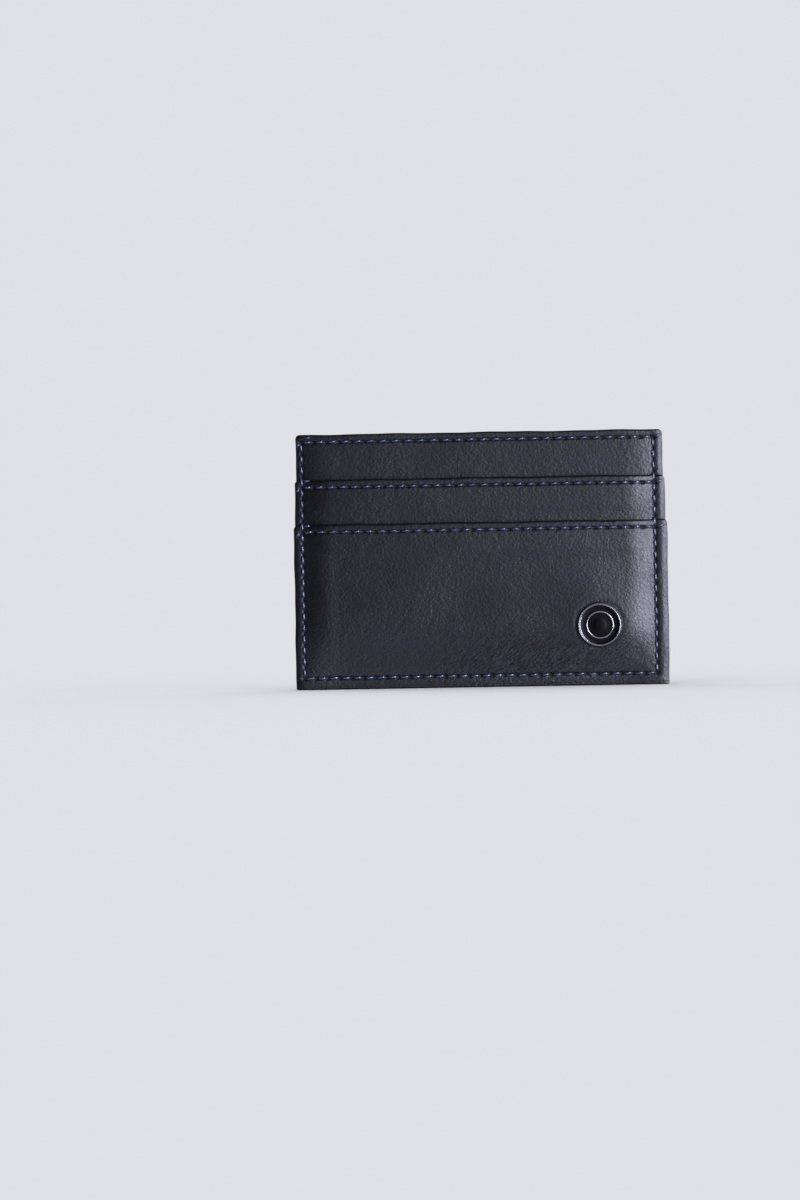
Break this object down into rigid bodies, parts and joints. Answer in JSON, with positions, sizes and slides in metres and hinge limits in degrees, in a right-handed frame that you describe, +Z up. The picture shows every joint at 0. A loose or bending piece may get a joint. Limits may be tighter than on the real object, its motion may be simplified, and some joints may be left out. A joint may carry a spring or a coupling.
{
  "type": "card holder",
  "caption": "Slim stitched leather card holder with stepped card slots front and back, an open centre compartment and a small round metal badge.",
  "frame": {"origin": "middle of the holder's width and thickness, at its bottom edge", "axes": "+X to the right along the width as the front is seen, +Y from the front to the back, +Z up to the open top edge"},
  "size_m": [0.1, 0.0103, 0.0685],
  "materials": {
    "leather": "semi-matte fine-grained nappa",
    "lining": "fine woven lining",
    "board": "plain fibre board",
    "thread": "twisted polyester thread with a soft sheen",
    "badge": "polished dark nickel",
    "washer": "plain steel"
  },
  "bodies": {
    "root": {"front_compartment_lining": "lining", "front_body_board": "board", "front_body_panel": "leather", "front_upper_slot_lining": "lining", "front_middle_panel": "leather", "front_pocket_lining": "lining", "front_pocket_panel": "leather", "front_top_edge_stitching": "thread", "front_middle_mouth_stitching": "thread", "front_pocket_mouth_stitching": "thread", "back_compartment_lining": "lining", "back_body_board": "board", "back_body_panel": "leather", "back_upper_slot_lining": "lining", "back_middle_panel": "leather", "back_pocket_lining": "lining", "back_pocket_panel": "leather", "back_top_edge_stitching": "thread", "back_middle_mouth_stitching": "thread", "back_pocket_mouth_stitching": "thread", "perimeter_needle_thread": "thread", "perimeter_bobbin_thread": "thread", "badge_medallion": "badge", "badge_washer": "washer"}
  },
  "joints": []
}
